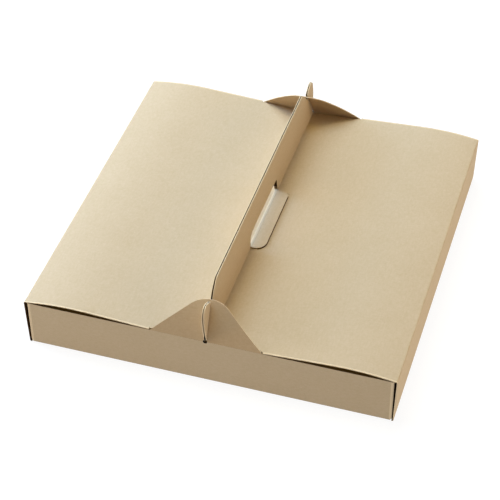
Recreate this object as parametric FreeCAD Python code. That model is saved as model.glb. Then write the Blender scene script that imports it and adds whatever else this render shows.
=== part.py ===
import FreeCAD, Part
import math
import os

# A flat carry-out lunch box, die-cut and folded from one sheet of kraft board, with no glue.
# The frame: X runs across the box, Y from front to back, Z up, and the origin is the
# middle of the underside.  Lengths are millimetres and angles degrees.

# Board and creases
board = 0.6                 # thickness of the sheet
crease = 0.9                # radius of the sheet's middle line where it is folded
corner_crease = 1.0         # the same at the four upright corners, which are folded softer
slack = 0.4                 # room left between one panel and the next

# Tray
base_width = 280.0          # over the side walls, at the bottom
top_width = 282.4           # over the side creases, because the side walls lean out
depth = 284.0               # over the end walls
wall_height = 39.6          # top edge of the end walls
side_height = 40.25         # top of the side creases
end_width = 277.6           # the end walls fold round inside the side walls
dust_length = 56.0          # dust flap, from the corner to its free edge
dust_drop = 1.5             # how much lower than the end wall it is
dust_taper = 12.0           # how far its free edge is cut back at the top
dust_corner = 3.0
wall_overlap = 3.0          # length of an end wall's foot that lies in the base
base_overlap = 1.5          # length by which the base reaches in under that foot

# Lid, two panels that arch from the side creases down to the handle
lid_foot = 38.0             # height of the lid at the handle
crown_x = 115.8             # corner of the lid's middle line, rounded by crown_radius
crown_height = 44.2
crown_radius = 205.0

# Handle, two upright panels back to back that lean a little to the left
foot_gap = 1.1              # between the two panels, which spring apart at the foot
top_gap = 0.5
handle_foot = -0.4          # X of the middle of the gap at the foot of the handle
handle_lean = 1.14          # how much further left it is at the top
handle_top = 76.0
handle_half = 112.0         # half the length of the straight top edge
handle_corner = 5.0
hand_hole_front = -34.9
hand_hole_back = 37.0
hand_hole_top = 49.8
hand_hole_corners = (7.0, 3.5)      # front and back
tab_reach = 11.5            # the tab pushed through the hand hole ends at this X
tab_front = -36.0
tab_back = 36.7             # at its root
tab_taper = 4.6             # how far the tab's back edge runs forwards towards its free edge
tab_corners = (8.0, 5.0)    # front and back
tab_rise = 1.4              # middle of the tab over the middle of the lid, at the handle
tab_lift = 1.3              # the same at its free edge
tab_bend = 1.5

# Locking flaps, one on each end wall
flap_half = 42.5            # half its width along the crease
flap_height = 31.3          # along the flap, from the crease to the rounded top
flap_lean = 22.0            # inwards from upright, at the crease
flap_curl = 21.0            # how much more it leans at its top, because the board is bent
flap_shoulder = 8.8         # half the width where the sloping sides would meet the top
flap_crown = 20.0           # radius of the rounded top
slit_height = 27.2          # the slit ends in a closed bridge at the top
slit_play = 0.25            # room on each side of the handle in the slit
hinge_line = 0.04           # the flap starts this far above the end wall, with its crease between
eyelet = 1.15               # radius of the round end of the slit, on the crease

# End of the handle, in the profile plane: distance from the middle, height, radius
shoulder = (119.6, 69.6, 8.0)       # the handle's end is cut back in two slopes
notch_lip = (123.3, 64.6, 0.5)      # from here the notch goes down behind the flap's bridge
notch_depth = 0.9                   # from the bridge's lower edge to the bottom of the notch
hook_beak = (126.9, 66.0, 1.2)      # point of the hook, over the bridge
hook_crest = (135.2, 70.5, 8.0)
hook_corner = (142.3, 70.1, 5.5)
hook_back = (144.2, 60.0, 25.0)
hook_heel = (142.0, 41.4, 0.5)

half = board / 2
foot_x = foot_gap / 2 + half        # middle of a handle panel from the middle of the gap
top_x = top_gap / 2 + half
end_y = depth / 2 - half
lid_inset = depth / 2 - board - 2 * slack
spare = 5.0                 # how far a cutting tool reaches past what it cuts
reach = hook_back[0] + spare        # half the length of the strip before its ends are cut
tab_root = foot_x + crease + 0.1
flap_radius = flap_height / math.radians(flap_curl)


def in_section(u, v):
    """Across the box: u is X and v is Z."""
    return FreeCAD.Vector(u, 0, v)


def in_profile(u, v):
    """Along the box: u is Y and v is Z."""
    return FreeCAD.Vector(0, u, v)


def in_plan(u, v):
    """Seen from above: u is X and v is Y."""
    return FreeCAD.Vector(u, v, 0)


def in_flap(u, v):
    """Square to the back flap: u is across it from the slit, and v up it from the crease."""
    lean = math.radians(flap_lean + flap_curl / 2)
    return FreeCAD.Vector(handle_foot + u, depth / 2 - v * math.sin(lean),
                          wall_height + v * math.cos(lean))


def rounded_face(corners, place):
    """Closed flat face through corners (u, v, radius), each rounded by its own radius."""
    points = [FreeCAD.Vector(u, v, 0) for u, v, _ in corners]
    count = len(corners)
    arcs = []
    for i, (u, v, radius) in enumerate(corners):
        to_last = (points[i - 1] - points[i]).normalize()
        to_next = (points[(i + 1) % count] - points[i]).normalize()
        if radius <= 0:
            arcs.append((points[i],))
            continue
        opening = to_last.getAngle(to_next) / 2
        run = radius / math.tan(opening)
        inward = (to_last + to_next).normalize()
        middle = points[i] + inward * (radius / math.sin(opening) - radius)
        arcs.append((points[i] + to_last * run, middle, points[i] + to_next * run))
    arcs = [[place(p.x, p.y) for p in arc] for arc in arcs]
    edges = []
    for i, arc in enumerate(arcs):
        if len(arc) == 3:
            edges.append(Part.Arc(*arc).toShape())
        start, end = arc[-1], arcs[(i + 1) % count][0]
        if (end - start).Length > 1e-6:
            edges.append(Part.makeLine(start, end))
    return Part.Face(Part.Wire(edges))


def board_band(path):
    """Corners of a strip one board thick along a middle line of corners (u, v, radius)."""
    sides = ([], [])
    last = len(path) - 1
    for i, (u, v, radius) in enumerate(path):
        here = FreeCAD.Vector(u, v, 0)
        before = here - FreeCAD.Vector(*path[i - 1][:2], 0) if i > 0 else None
        after = FreeCAD.Vector(*path[i + 1][:2], 0) - here if i < last else None
        incoming = (before or after).normalize()
        outgoing = (after or before).normalize()
        turn = incoming.x * outgoing.y - incoming.y * outgoing.x
        across = FreeCAD.Vector(-incoming.y - outgoing.y, incoming.x + outgoing.x, 0).normalize()
        mitre = half / (across.x * -incoming.y + across.y * incoming.x)
        for side, sign in zip(sides, (1, -1)):
            point = here + across * (sign * mitre)
            bend = 0 if radius == 0 else radius - sign * math.copysign(half, turn)
            side.append((point.x, point.y, bend))
    return sides[0] + sides[1][::-1]


def prism(corners, place, start, end):
    """Solid between two parallel planes, square to the drawing plane of place."""
    origin = place(0, 0)
    normal = (place(1, 0) - origin).cross(place(0, 1) - origin)
    along = FreeCAD.Vector(*(abs(part) for part in normal))
    face = rounded_face(corners, place)
    face.translate(along * start)
    return face.extrude(along * (end - start))


def block(x, y, z):
    """Box between pairs of limits."""
    corner = FreeCAD.Vector(x[0], y[0], z[0])
    return Part.makeBox(x[1] - x[0], y[1] - y[0], z[1] - z[0], corner)


def both_ends(shape):
    """The shape and its mirror image at the other end of the box."""
    origin = FreeCAD.Vector(0, 0, 0)
    return [shape, shape.mirror(origin, FreeCAD.Vector(0, 1, 0))]


def along_flap(height, inset):
    """Profile point on the back flap: height along it, and inset in from its outer face."""
    start = math.radians(flap_lean)
    angle = start + height / flap_radius
    radius = flap_radius - inset
    return (depth / 2 - flap_radius * math.cos(start) + radius * math.cos(angle),
            wall_height - flap_radius * math.sin(start) + radius * math.sin(angle))


def handle_middle(z):
    """X of the gap between the two handle panels at a height."""
    return handle_foot - handle_lean * (z - lid_foot) / (handle_top - lid_foot)


def lid_line(x):
    """Height of the lid's middle line on its straight part near the handle."""
    slope = (crown_height - lid_foot) / (crown_x - foot_x)
    return lid_foot + slope * (abs(x - handle_foot) - foot_x)


def wrap():
    """The long strip of panels: handle, lid, side wall, base, side wall, lid, handle."""
    right = [
        (crown_x, crown_height, crown_radius),
        (top_width / 2 - half, side_height - half, crease),
        (base_width / 2 - half, half, crease),
    ]
    left = [(-u, v, radius) for u, v, radius in reversed(right)]
    top = handle_middle(handle_top)
    right_handle = [(top + top_x, handle_top, 0), (handle_foot + foot_x, lid_foot, crease)]
    left_handle = [(handle_foot - foot_x, lid_foot, crease), (top - top_x, handle_top, 0)]
    path = right_handle + right + left + left_handle
    return prism(board_band(path), in_section, -reach, reach)


def handle_profile():
    """Outline of one handle panel with a hook and a notch at each end."""
    back = [
        (handle_half, handle_top, handle_corner),
        shoulder,
        notch_lip,
        (*along_flap(slit_height - notch_depth, board + slack), 0.4),
        (*along_flap(slit_height - notch_depth, -slack), 0.4),
        hook_beak,
        hook_crest,
        hook_corner,
        hook_back,
        hook_heel,
        (lid_inset, wall_height - slack, 0),
        (lid_inset, lid_foot - 2 * crease, 0),
    ]
    front = [(-u, v, radius) for u, v, radius in reversed(back)]
    return back + front


def trim_panels(sheet):
    """Cut the ends of the wrapped strip to the outline of its panels."""
    far = reach + 1
    edge = depth / 2
    low = lid_foot - 4 * crease
    high = handle_top + 1
    middle = (handle_middle(handle_top) - 2 * crease, handle_foot + 2 * crease)
    flap_reach = flap_half + slack
    cuts = []
    cuts += both_ends(block((-far, far), (edge, far), (-1, low)))
    for left, right in ((-far, middle[0]), (middle[1], far)):
        behind_flap = (max(left, handle_foot - flap_reach), min(right, handle_foot + flap_reach))
        cuts += both_ends(block((left, right), (edge, far), (low, high)))
        cuts += both_ends(block(behind_flap, (lid_inset, far), (low, high)))
    around_handle = block(middle, (-far, far), (lid_foot - 2 * crease, high))
    cuts.append(around_handle.cut(prism(handle_profile(), in_profile, *middle)))
    cuts += both_ends(block(middle, (lid_inset, far), (low, lid_foot - 2 * crease)))
    floor_x = base_width / 2 - board - crease
    floor_end = end_y - wall_overlap + base_overlap
    cuts += both_ends(block((-floor_x, floor_x), (floor_end, far), (-1, board + slack)))
    return sheet.cut(cuts)


def hand_hole(sheet):
    """Open the hand hole in the right panel, and the window its tab leaves in the left one."""
    low = lid_foot - 2 * crease
    gap = handle_middle((lid_foot + hand_hole_top) / 2)
    hole = [
        (hand_hole_front, low, 0),
        (hand_hole_front, hand_hole_top, hand_hole_corners[0]),
        (hand_hole_back, hand_hole_top, hand_hole_corners[1]),
        (hand_hole_back, low, 0),
    ]
    window_top = lid_foot + tab_reach - handle_foot + foot_x
    window = [
        (tab_front, low, 0),
        (tab_front, window_top, tab_corners[0]),
        (tab_back - tab_taper, window_top, tab_corners[1]),
        (tab_back, lid_foot, 0),
        (tab_back, low, 0),
    ]
    return sheet.cut([prism(hole, in_profile, gap, handle_foot + tab_root),
                      prism(window, in_profile, handle_foot - tab_root, gap)])


def hand_tab():
    """Tab of the left panel: it goes on from the left lid, through the hole, onto the right."""
    root = handle_foot - tab_root
    hole_edge = handle_foot + tab_root
    path = [
        (root, lid_line(root), 0),
        (root + crease, lid_line(root + crease), tab_bend),
        (hole_edge, lid_line(hole_edge) + tab_rise, tab_bend),
        (tab_reach, lid_line(tab_reach) + tab_lift, 0),
    ]
    outline = [
        (root, tab_front, 0),
        (tab_reach, tab_front, tab_corners[0]),
        (tab_reach, tab_back - tab_taper, tab_corners[1]),
        (handle_foot, tab_back, 0),
        (root, tab_back, 0),
    ]
    strip = prism(board_band(path), in_section, tab_front, tab_back)
    return strip.common(prism(outline, in_plan, lid_foot - spare, lid_foot + spare))


def eyelet_hole():
    """Round hole on the back crease, where the slit for the handle ends."""
    start = FreeCAD.Vector(handle_foot, depth / 2 + board, wall_height)
    return Part.makeCylinder(eyelet, 3 * board, start, FreeCAD.Vector(0, -1, 0))


def end_wall():
    """Back end wall, folded up from the base, with a dust flap folded in at each side."""
    corner_x = end_width / 2 - half
    free_y = end_y - dust_length
    relief = 2 * crease
    path = [
        (corner_x, free_y, 0),
        (corner_x, end_y, corner_crease),
        (-corner_x, end_y, corner_crease),
        (-corner_x, free_y, 0),
    ]
    wall = prism(board_band(path), in_plan, relief, wall_height)
    dust_top = wall_height - dust_drop
    start_y = end_y - corner_crease - board
    above = [
        (start_y, dust_top, 0),
        (free_y + dust_taper, dust_top, dust_corner),
        (free_y - 1, dust_top - dust_taper, 0),
        (free_y - 1, wall_height + 1, 0),
        (start_y, wall_height + 1, 0),
    ]
    wall = wall.cut(prism(above, in_profile, -end_width, end_width))
    foot = [
        (end_y, 2 * relief, 0),
        (end_y, half, crease),
        (end_y - wall_overlap, half, 0),
    ]
    foot_x = corner_x - corner_crease
    fold = prism(board_band(foot), in_profile, -foot_x, foot_x)
    return wall.fuse(fold).cut(eyelet_hole())


def folded_box():
    """Tray, lid halves and handle: the whole sheet apart from its two locking flaps."""
    sheet = hand_hole(trim_panels(wrap()))
    return sheet.fuse([hand_tab()] + both_ends(end_wall())).removeSplitter()


def back_flap():
    """Locking flap on the back end wall, bent in over the end of the handle."""
    run_out = 1.5
    sweep = (flap_height + 2 * run_out) / flap_radius
    bend = (flap_radius - half) / math.cos(sweep / 2)
    path = [
        (*along_flap(-run_out, half), 0),
        (*along_flap(flap_height / 2, flap_radius - bend), flap_radius - half),
        (*along_flap(flap_height + run_out, half), 0),
    ]
    outline = [
        (flap_half + 1.0, -1.0, 0),
        (flap_shoulder, flap_height, flap_crown),
        (-flap_shoulder, flap_height, flap_crown),
        (-flap_half - 1.0, -1.0, 0),
    ]
    slit_foot = foot_x + half + slit_play
    slit_end = top_x + half + slit_play
    slit_lean = handle_foot - handle_middle(along_flap(slit_height, half)[1])
    slit = [
        (-slit_foot, -run_out, 0),
        (-slit_end - slit_lean, slit_height, slit_end * 0.9),
        (slit_end - slit_lean, slit_height, slit_end * 0.9),
        (slit_foot, -run_out, 0),
    ]
    across = (-flap_half - spare, flap_half + spare)
    below_crease = block(across, (depth / 2 - spare, depth / 2 + spare),
                         (wall_height - spare, wall_height + hinge_line))
    panel = prism(board_band(path), in_profile, *across)
    panel = panel.common(prism(outline, in_flap, -spare, spare))
    return panel.cut([prism(slit, in_flap, -spare, spare), eyelet_hole(), below_crease])


os.makedirs("parts", exist_ok=True)
back, front = both_ends(back_flap())
nodes = {
    "folded_box": folded_box(),
    "front_locking_flap": front,
    "back_locking_flap": back,
}
for name, shape in nodes.items():
    shape.exportStep("parts/" + name + ".step")
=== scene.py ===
import bpy
import math
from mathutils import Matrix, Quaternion, Vector


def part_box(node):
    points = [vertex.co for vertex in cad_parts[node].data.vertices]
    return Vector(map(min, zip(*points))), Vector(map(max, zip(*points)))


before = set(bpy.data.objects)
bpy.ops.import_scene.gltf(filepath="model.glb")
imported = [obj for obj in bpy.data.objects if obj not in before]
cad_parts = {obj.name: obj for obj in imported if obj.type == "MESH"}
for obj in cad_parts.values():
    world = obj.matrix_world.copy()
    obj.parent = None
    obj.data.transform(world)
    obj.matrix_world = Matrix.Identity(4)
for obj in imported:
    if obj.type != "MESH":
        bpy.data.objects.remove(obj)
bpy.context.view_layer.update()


# The folded box: tray, arched lid and upright handle.
# One sheet of brown kraft board, pressed from long wood fibres, die-cut and folded by hand.
# It is closed here, with the tab of the left handle panel pushed through the hand hole.

class Shade:
    """A value in a material.  Arithmetic on it adds Math nodes, and add() adds any other node."""

    def __init__(self, tree, socket=None):
        self.tree = tree
        self.socket = socket

    def add(self, kind, settings, values, output=0):
        node = self.tree.nodes.new(kind)
        for name, value in settings.items():
            setattr(node, name, value)
        for name, value in values.items():
            if isinstance(value, Shade):
                self.tree.links.new(value.socket, node.inputs[name])
            else:
                node.inputs[name].default_value = value
        return Shade(self.tree, node.outputs[output])

    def maths(self, operation, *others):
        values = {i: value for i, value in enumerate((self,) + others)}
        return self.add("ShaderNodeMath", {"operation": operation}, values)

    def part(self, axis):
        return self.add("ShaderNodeSeparateXYZ", {}, {0: self}, axis)

    def __add__(self, other):
        return self.maths("ADD", other)

    __radd__ = __add__

    def __sub__(self, other):
        return self.maths("SUBTRACT", other)

    def __rsub__(self, other):
        return (self * -1.0) + other

    def __mul__(self, other):
        return self.maths("MULTIPLY", other)

    __rmul__ = __mul__

    def __abs__(self):
        return self.maths("ABSOLUTE")

    def __gt__(self, other):
        return self.maths("GREATER_THAN", other)

    def __lt__(self, other):
        return self.maths("LESS_THAN", other)

    def between(self, low, high):
        """1 from low to high, and 0 outside."""
        return (self > low) * (self < high)

    def either(self, *others):
        """The largest of several values, so that masks add up without passing 1."""
        largest = self
        for other in others:
            largest = largest.maths("MAXIMUM", other)
        return largest


def kraft_board(name, face_pale, face_dark, cut_edges_and_highlights, shaded, deep, painted_light):
    """Uncoated kraft board, mottled between its two face colours.  Each mask takes a place and
    a facing direction and gives 0 to 1: the pale cut edges where the die cut through it, with some
    painted highlights; painted shade in its narrow gaps; near-black painted shade where no light
    gets in; and a painted warm glow inside the closed box, which stands for the little light that
    comes through."""
    # The pale colour is the raw cut edge and also a painted highlight; gap and deep colours are painted
    # shade.
    edge_and_highlight_colour = (0.680, 0.535, 0.345, 1.0)
    gap_colour = (0.070, 0.031, 0.007, 1.0)
    deep_colour = (0.012, 0.005, 0.002, 1.0)
    painted_inside_glow = (0.018, 0.010, 0.002, 1.0)
    black = (0.0, 0.0, 0.0, 1.0)
    fine_mottle = 2.2
    broad_mottle = 0.5
    material = bpy.data.materials.new(name)
    material.use_nodes = True
    tree = material.node_tree
    surface = tree.nodes["Principled BSDF"]
    start = Shade(tree)
    on_board = start.add("ShaderNodeTexCoord", {}, {}, "Object")
    normal = start.add("ShaderNodeTexCoord", {}, {}, "Normal")
    place = [on_board.part(axis) for axis in "XYZ"]
    facing = [normal.part(axis) for axis in "XYZ"]

    def fibres(lengths, scale, detail):
        """Noise with scale waves to the metre, drawn out along an axis where its length is low."""
        stretched = start.add("ShaderNodeMapping", {}, {"Vector": on_board, "Scale": lengths})
        return start.add("ShaderNodeTexNoise", {},
                         {"Vector": stretched, "Scale": scale, "Detail": detail, "Roughness": 0.6})

    def mixed(amount, first, second):
        return start.add("ShaderNodeMix", {"data_type": "RGBA", "clamp_factor": True},
                         {"Factor": amount, 6: first, 7: second}, 2)

    along = fibres((1.0, 0.25, 1.0), 900.0, 3.0)
    across = fibres((0.3, 1.0, 0.6), 1100.0, 3.0)
    cloudy = fibres((1.0, 1.0, 1.0), 28.0, 2.0)
    grain = (along + across) * 0.5
    tone = (grain - 0.5) * fine_mottle + (cloudy - 0.5) * broad_mottle + 0.5
    face = mixed(cut_edges_and_highlights(place, facing), mixed(tone, face_dark, face_pale), edge_and_highlight_colour)
    colour = mixed(deep(place, facing), mixed(shaded(place, facing), face, gap_colour), deep_colour)
    # Painted light: a faint warm glow on the faces inside the box.
    glow = mixed(painted_light(place, facing), black, painted_inside_glow)
    bump = start.add("ShaderNodeBump", {}, {"Height": grain, "Strength": 0.06, "Distance": 0.0002})
    tree.links.new(colour.socket, surface.inputs["Base Color"])
    tree.links.new(glow.socket, surface.inputs["Emission Color"])
    tree.links.new((0.74 + 0.1 * grain).socket, surface.inputs["Roughness"])
    tree.links.new(bump.socket, surface.inputs["Normal"])
    surface.inputs["Emission Strength"].default_value = 1.0
    surface.inputs["Specular IOR Level"].default_value = 0.12
    return material


# Sizes in metres, from the middle of the underside.  A fold takes up a bend of the board.
box_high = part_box("folded_box")[1]
board = 0.0006
bend = 0.0011
hair = 0.0001

# The walls, with a slot at each upright corner and the crease that the eyelets lie on.  The
# handle's hooks reach a little past the end walls, so they set the box's greatest y.
wall_top = 0.0396
end_wall_x = 0.1388
end_wall_y = box_high.y - 0.0025
crease_y = 0.1405
corner_y = 0.139
corner_width = 0.0022
slot_width = 0.0017
eyelet_shade_radius = 0.0017

# The lid, which meets the handle at its foot and ends flush with the end walls.
lid_foot = 0.038
lid_end = 0.142
lid_rim_width = 0.0012
inside_top = 0.0442

# The double handle: it leans to the left, and the gap between its panels narrows upwards.
handle_x = -0.0004
handle_lean = 0.00114
handle_half = 0.0018
handle_clear = 0.004
foot_gap = 0.0011
top_gap = 0.0005
notch_y = 0.130
hook_y = 0.137
hook_foot_top = 0.0440

# The hand hole, then the tab that lies through it, sloping up to the right.
hole_half = 0.0374
hole_sill = 0.0413
hole_top = 0.0512
hole_shade_y = 0.0330
tab_start = 0.0008
tab_reach = 0.0115
tab_rim_end = 0.0122
tab_front = -0.036
tab_back = 0.030
tab_corner = 0.008
tab_middle = lid_foot + 0.0013
tab_slope = 0.054
tab_fold_z = 0.0389
tab_far_edge = 0.0371
tab_far_slant = 0.4

# How squarely a face looks along an axis, from 0, edge-on, to 1, straight along it.
partly, mostly, squarely = 0.5, 0.7, 0.88


def up_handle(z, foot, top):
    """A size that changes evenly from the foot of the handle to its top."""
    return foot + (z - lid_foot) * ((top - foot) / (box_high.z - lid_foot))


def from_gap(x, z):
    """How far to the right of the middle of the double handle, which leans a little."""
    return x - up_handle(z, handle_x, handle_x - handle_lean)


def at_tab(y, z):
    """The low part of the hand hole, which the tab passes through."""
    return (abs(y) < hole_half) * (z < hole_sill)


def eyelet(x, y, z):
    """Near-black painted shade over the round end of each slit and round it, on the end wall's crease.
    """
    aside = x - (handle_x - 2 * hair)
    above = z - wall_top
    return (aside * aside + above * above < eyelet_shade_radius ** 2) * (abs(y) > crease_y)


def box_edges_and_highlights(place, facing):
    """Cut edges of the folded box, told from its faces by where they are and where they look, and
    painted highlights on the lid's rim and on the folds at the upright corners.
    """
    x, y, z = place
    towards_x, towards_y, towards_z = map(abs, facing)
    panel = (abs(from_gap(x, z)) < handle_half) * (z > lid_foot + bend)
    handle = panel * (towards_x < partly) * (1.0 - at_tab(y, z))
    side_wall = (x > end_wall_x + 3 * hair) * (towards_y > mostly)
    on_lid = (z > wall_top + hair) * (abs(x) > handle_clear)
    lid = on_lid * (towards_y > mostly)
    # Painted highlight: a pale band on the lid's top along its ends, where the edge catches the light.
    lid_rim_highlight = on_lid * (abs(y) > lid_end - lid_rim_width) * 0.9
    # Painted highlight on the fold at each upright corner, where it turns towards the light.
    upright = (abs(x) > end_wall_x - corner_width) * (abs(y) > corner_y)
    fold = upright * (z < wall_top - 2 * hair) * (towards_x < squarely)
    tab = x.between(tab_start, tab_rim_end) * at_tab(y, z)
    tab_rim = tab * (z > tab_middle + x * tab_slope) * (towards_z < partly)
    return handle.either(side_wall, lid, lid_rim_highlight, fold, tab_rim)


def box_gaps(place, facing):
    """Painted shade in narrow places that light hardly reaches: between the two handle panels, in
    the slots at the four upright corners, along the top of the end walls under the lid, at the bend
    at the foot of the box, and round the tab's raised edge; and on the tab's fold, which faces the
    light.  A factor below 1 makes a place less dark."""
    x, y, z = place
    towards_x, towards_y, towards_z = map(abs, facing)
    above_lid = z > lid_foot + board
    half_gap = up_handle(z, foot_gap / 2, top_gap / 2)
    seen_gap = half_gap + 0.00015 - (abs(y) > notch_y) * 0.00035
    panels = (abs(from_gap(x, z)) < seen_gap) * above_lid * (1.0 - at_tab(y, z))

    slot = abs(x).between(end_wall_x - slot_width, end_wall_x + hair) * (towards_x > squarely)
    beyond_wall = abs(x) > end_wall_x + 2 * hair
    inward = (x * facing[0] < 0.0) * beyond_wall * (towards_x > partly)
    left_edge = (x < -end_wall_x - 2 * hair) * (towards_y > mostly)
    wall_edge = z.between(wall_top - hair, wall_top + hair) * (abs(y) > end_wall_y - hair)
    wall_edge = wall_edge * (towards_z > mostly) * 0.8
    foot = (z < bend) * 0.5

    past_x = (x - (tab_reach - tab_corner)).either(0.0)
    past_y = ((tab_front + tab_corner) - y).either(0.0)
    on_right_lid = (x > tab_start) * (z < lid_foot + 2 * board) * above_lid
    round_tab = (past_x * past_x + past_y * past_y < (tab_corner + 5 * hair) ** 2) * on_right_lid
    under_tab = round_tab * (y < tab_back) * 0.85
    far_edge = y + tab_far_slant * x
    beyond_tab = round_tab * far_edge.between(tab_far_edge, tab_far_edge + board) * 0.4
    tab_level = x * tab_slope
    underside = z.between(tab_level + (lid_foot + board), tab_level + tab_middle)
    underside = underside * x.between(tab_start, tab_rim_end) * (towards_z < partly)
    tab_fold = (abs(x - tab_start) < bend) * (z > tab_fold_z) * (towards_z > partly) * 0.22
    tab = underside.either(tab_fold) * at_tab(y, z)
    return panels.either(slot, inward, left_edge, wall_edge, foot, under_tab, beyond_tab, tab)


def box_deep(place, facing):
    """Near-black painted shade in the eyelets, at the foot of the hooks, where the two panels stand
    furthest apart, and at the far end of the hand hole."""
    x, y, z = place
    low_hook = z.between(wall_top + hair, hook_foot_top) * (abs(y) > hook_y)
    hook_foot = (abs(from_gap(x, z)) < foot_gap / 2 + board * 0.2) * low_hook
    window = y.between(hole_shade_y, hole_half) * z.between(lid_foot + board, hole_top)
    far_end = window * (from_gap(x, z) < 0.0) * (abs(facing[1]) > partly)
    return hook_foot.either(far_end, eyelet(x, y, z))


def box_inside(place, facing):
    """Faces that look into the closed box, which get a painted warm glow."""
    x, y, z = place
    outwards = x * facing[0] + y * facing[1] + (z - lid_foot / 2) * facing[2]
    within_walls = (abs(y) < end_wall_y + hair) * abs(x).between(0.003, end_wall_x - 2 * hair)
    return (outwards < 0.0) * within_walls * (z < inside_top)


box_pale = (0.560, 0.440, 0.292, 1.0)
box_dark = (0.482, 0.366, 0.225, 1.0)
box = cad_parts["folded_box"]
box.data.materials.clear()
box.data.materials.append(kraft_board("kraft_board_box", box_pale, box_dark,
                                      box_edges_and_highlights, box_gaps, box_deep, box_inside))


# The two locking flaps, one on the top edge of each end wall.
# They belong to the same sheet, with the same board and the same raw cut edges.
# Each is bent in over the end of the handle, with the handle's hook through its slit.

# A flap is curved, and this is how far its middle leans inwards from upright.
flap_lean = math.radians(32.5)
# The flaps' face colours are the box's, made darker and warmer as painted shade.
shaded_flap_pale = (0.545, 0.400, 0.247, 1.0)
shaded_flap_dark = (0.468, 0.330, 0.188, 1.0)


def flap_eyelet_shade(place, facing):
    """The part of the eyelet's painted shade that lies in the flap."""
    return eyelet(*place)


def nowhere(place, facing):
    """A mask that finds no part of a flap, since x is far less than a metre."""
    return place[0] > 1.0


for side, name in ((-1, "front_locking_flap"), (1, "back_locking_flap")):
    outward = Vector((0, side * math.cos(flap_lean), math.sin(flap_lean)))

    def flap_edges(place, facing):
        """Edges look well away from the outward direction of the flap's face."""
        return abs(facing[1] * outward.y + facing[2] * outward.z) < 0.6

    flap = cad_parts[name]
    flap.data.materials.clear()
    flap.data.materials.append(kraft_board("kraft_board_" + name, shaded_flap_pale, shaded_flap_dark,
                                           flap_edges, nowhere, flap_eyelet_shade, nowhere))


# The table and the studio: a plain white glowing plane with a pale horizon.  A wide cool soft box
# stands high behind the box's left side and a smaller one low on the left.  Three weak warm ones,
# overhead, on the right and at the front left, stand for the light that the room sends back.

bpy.ops.mesh.primitive_plane_add(size=14.0, location=(0, 0, 0))
table = bpy.context.object
table.name = "table"
white = bpy.data.materials.new("white_table")
white.use_nodes = True
paint = white.node_tree.nodes["Principled BSDF"]
paint.inputs["Base Color"].default_value = (0.15, 0.15, 0.15, 1.0)
paint.inputs["Roughness"].default_value = 0.9
paint.inputs["Specular IOR Level"].default_value = 0.0
paint.inputs["Emission Color"].default_value = (1.0, 1.0, 1.0, 1.0)
paint.inputs["Emission Strength"].default_value = 0.905
table.data.materials.append(white)

horizon_top = 0.15
horizon_fade = 6.0
horizon_colour = (0.62, 0.61, 0.60, 1.0)
dark_room = (0.01, 0.008, 0.005, 1.0)
world = bpy.data.worlds.new("studio")
world.use_nodes = True
sky = Shade(world.node_tree)
height = sky.add("ShaderNodeTexCoord", {}, {}, "Generated").part("Z")
horizon = sky.add("ShaderNodeMix", {"data_type": "RGBA", "clamp_factor": True},
                  {"Factor": (height - horizon_top) * horizon_fade, 6: horizon_colour, 7: dark_room}, 2)
world.node_tree.links.new(horizon.socket, world.node_tree.nodes["Background"].inputs["Color"])
bpy.context.scene.world = world
bpy.context.scene.view_settings.view_transform = "Standard"


def soft_box(name, place, size, power, colour):
    """Square area light at place, facing the middle of the box."""
    light = bpy.data.lights.new(name, "AREA")
    light.size = size
    light.energy = power
    light.color = colour
    lamp = bpy.data.objects.new(name, light)
    lamp.location = place
    lamp.rotation_euler = (Vector((0, 0, 0.03)) - Vector(place)).to_track_quat("-Z", "Y").to_euler()
    bpy.context.scene.collection.objects.link(lamp)


soft_box("key", (-0.77, 0.66, 1.64), 2.0, 66.5, (0.67, 0.81, 0.99))
soft_box("low_left", (-1.78, 0.42, 0.53), 0.9, 43.0, (0.38, 0.60, 1.0))
soft_box("front_left", (-1.20, -0.50, 0.25), 0.5, 5.6, (1.0, 0.79, 0.58))
soft_box("right", (1.70, 0.05, 0.65), 0.9, 13.0, (1.0, 0.80, 0.55))
soft_box("overhead", (-0.2, 0.2, 1.9), 0.5, 8.6, (1.0, 0.76, 0.18))


# The camera: a long lens on a stand, a little to the right of the front and well above the lid,
# aimed at the middle of the box, with a slight roll.

aim = Vector((-0.0018, -0.0291, 0.030))
azimuth = math.radians(17.58)
elevation = math.radians(42.23)
distance = 1.2812
roll = math.radians(-0.583)
back = Vector((math.sin(azimuth) * math.cos(elevation), -math.cos(azimuth) * math.cos(elevation),
               math.sin(elevation)))
camera = bpy.data.objects.new("camera", bpy.data.cameras.new("camera"))
camera.data.lens = 119.97
camera.data.sensor_width = 36.0
camera.location = aim + back * distance
camera.rotation_mode = "QUATERNION"
camera.rotation_quaternion = (-back).to_track_quat("-Z", "Y") @ Quaternion((0, 0, 1), roll)
bpy.context.scene.collection.objects.link(camera)
bpy.context.scene.camera = camera
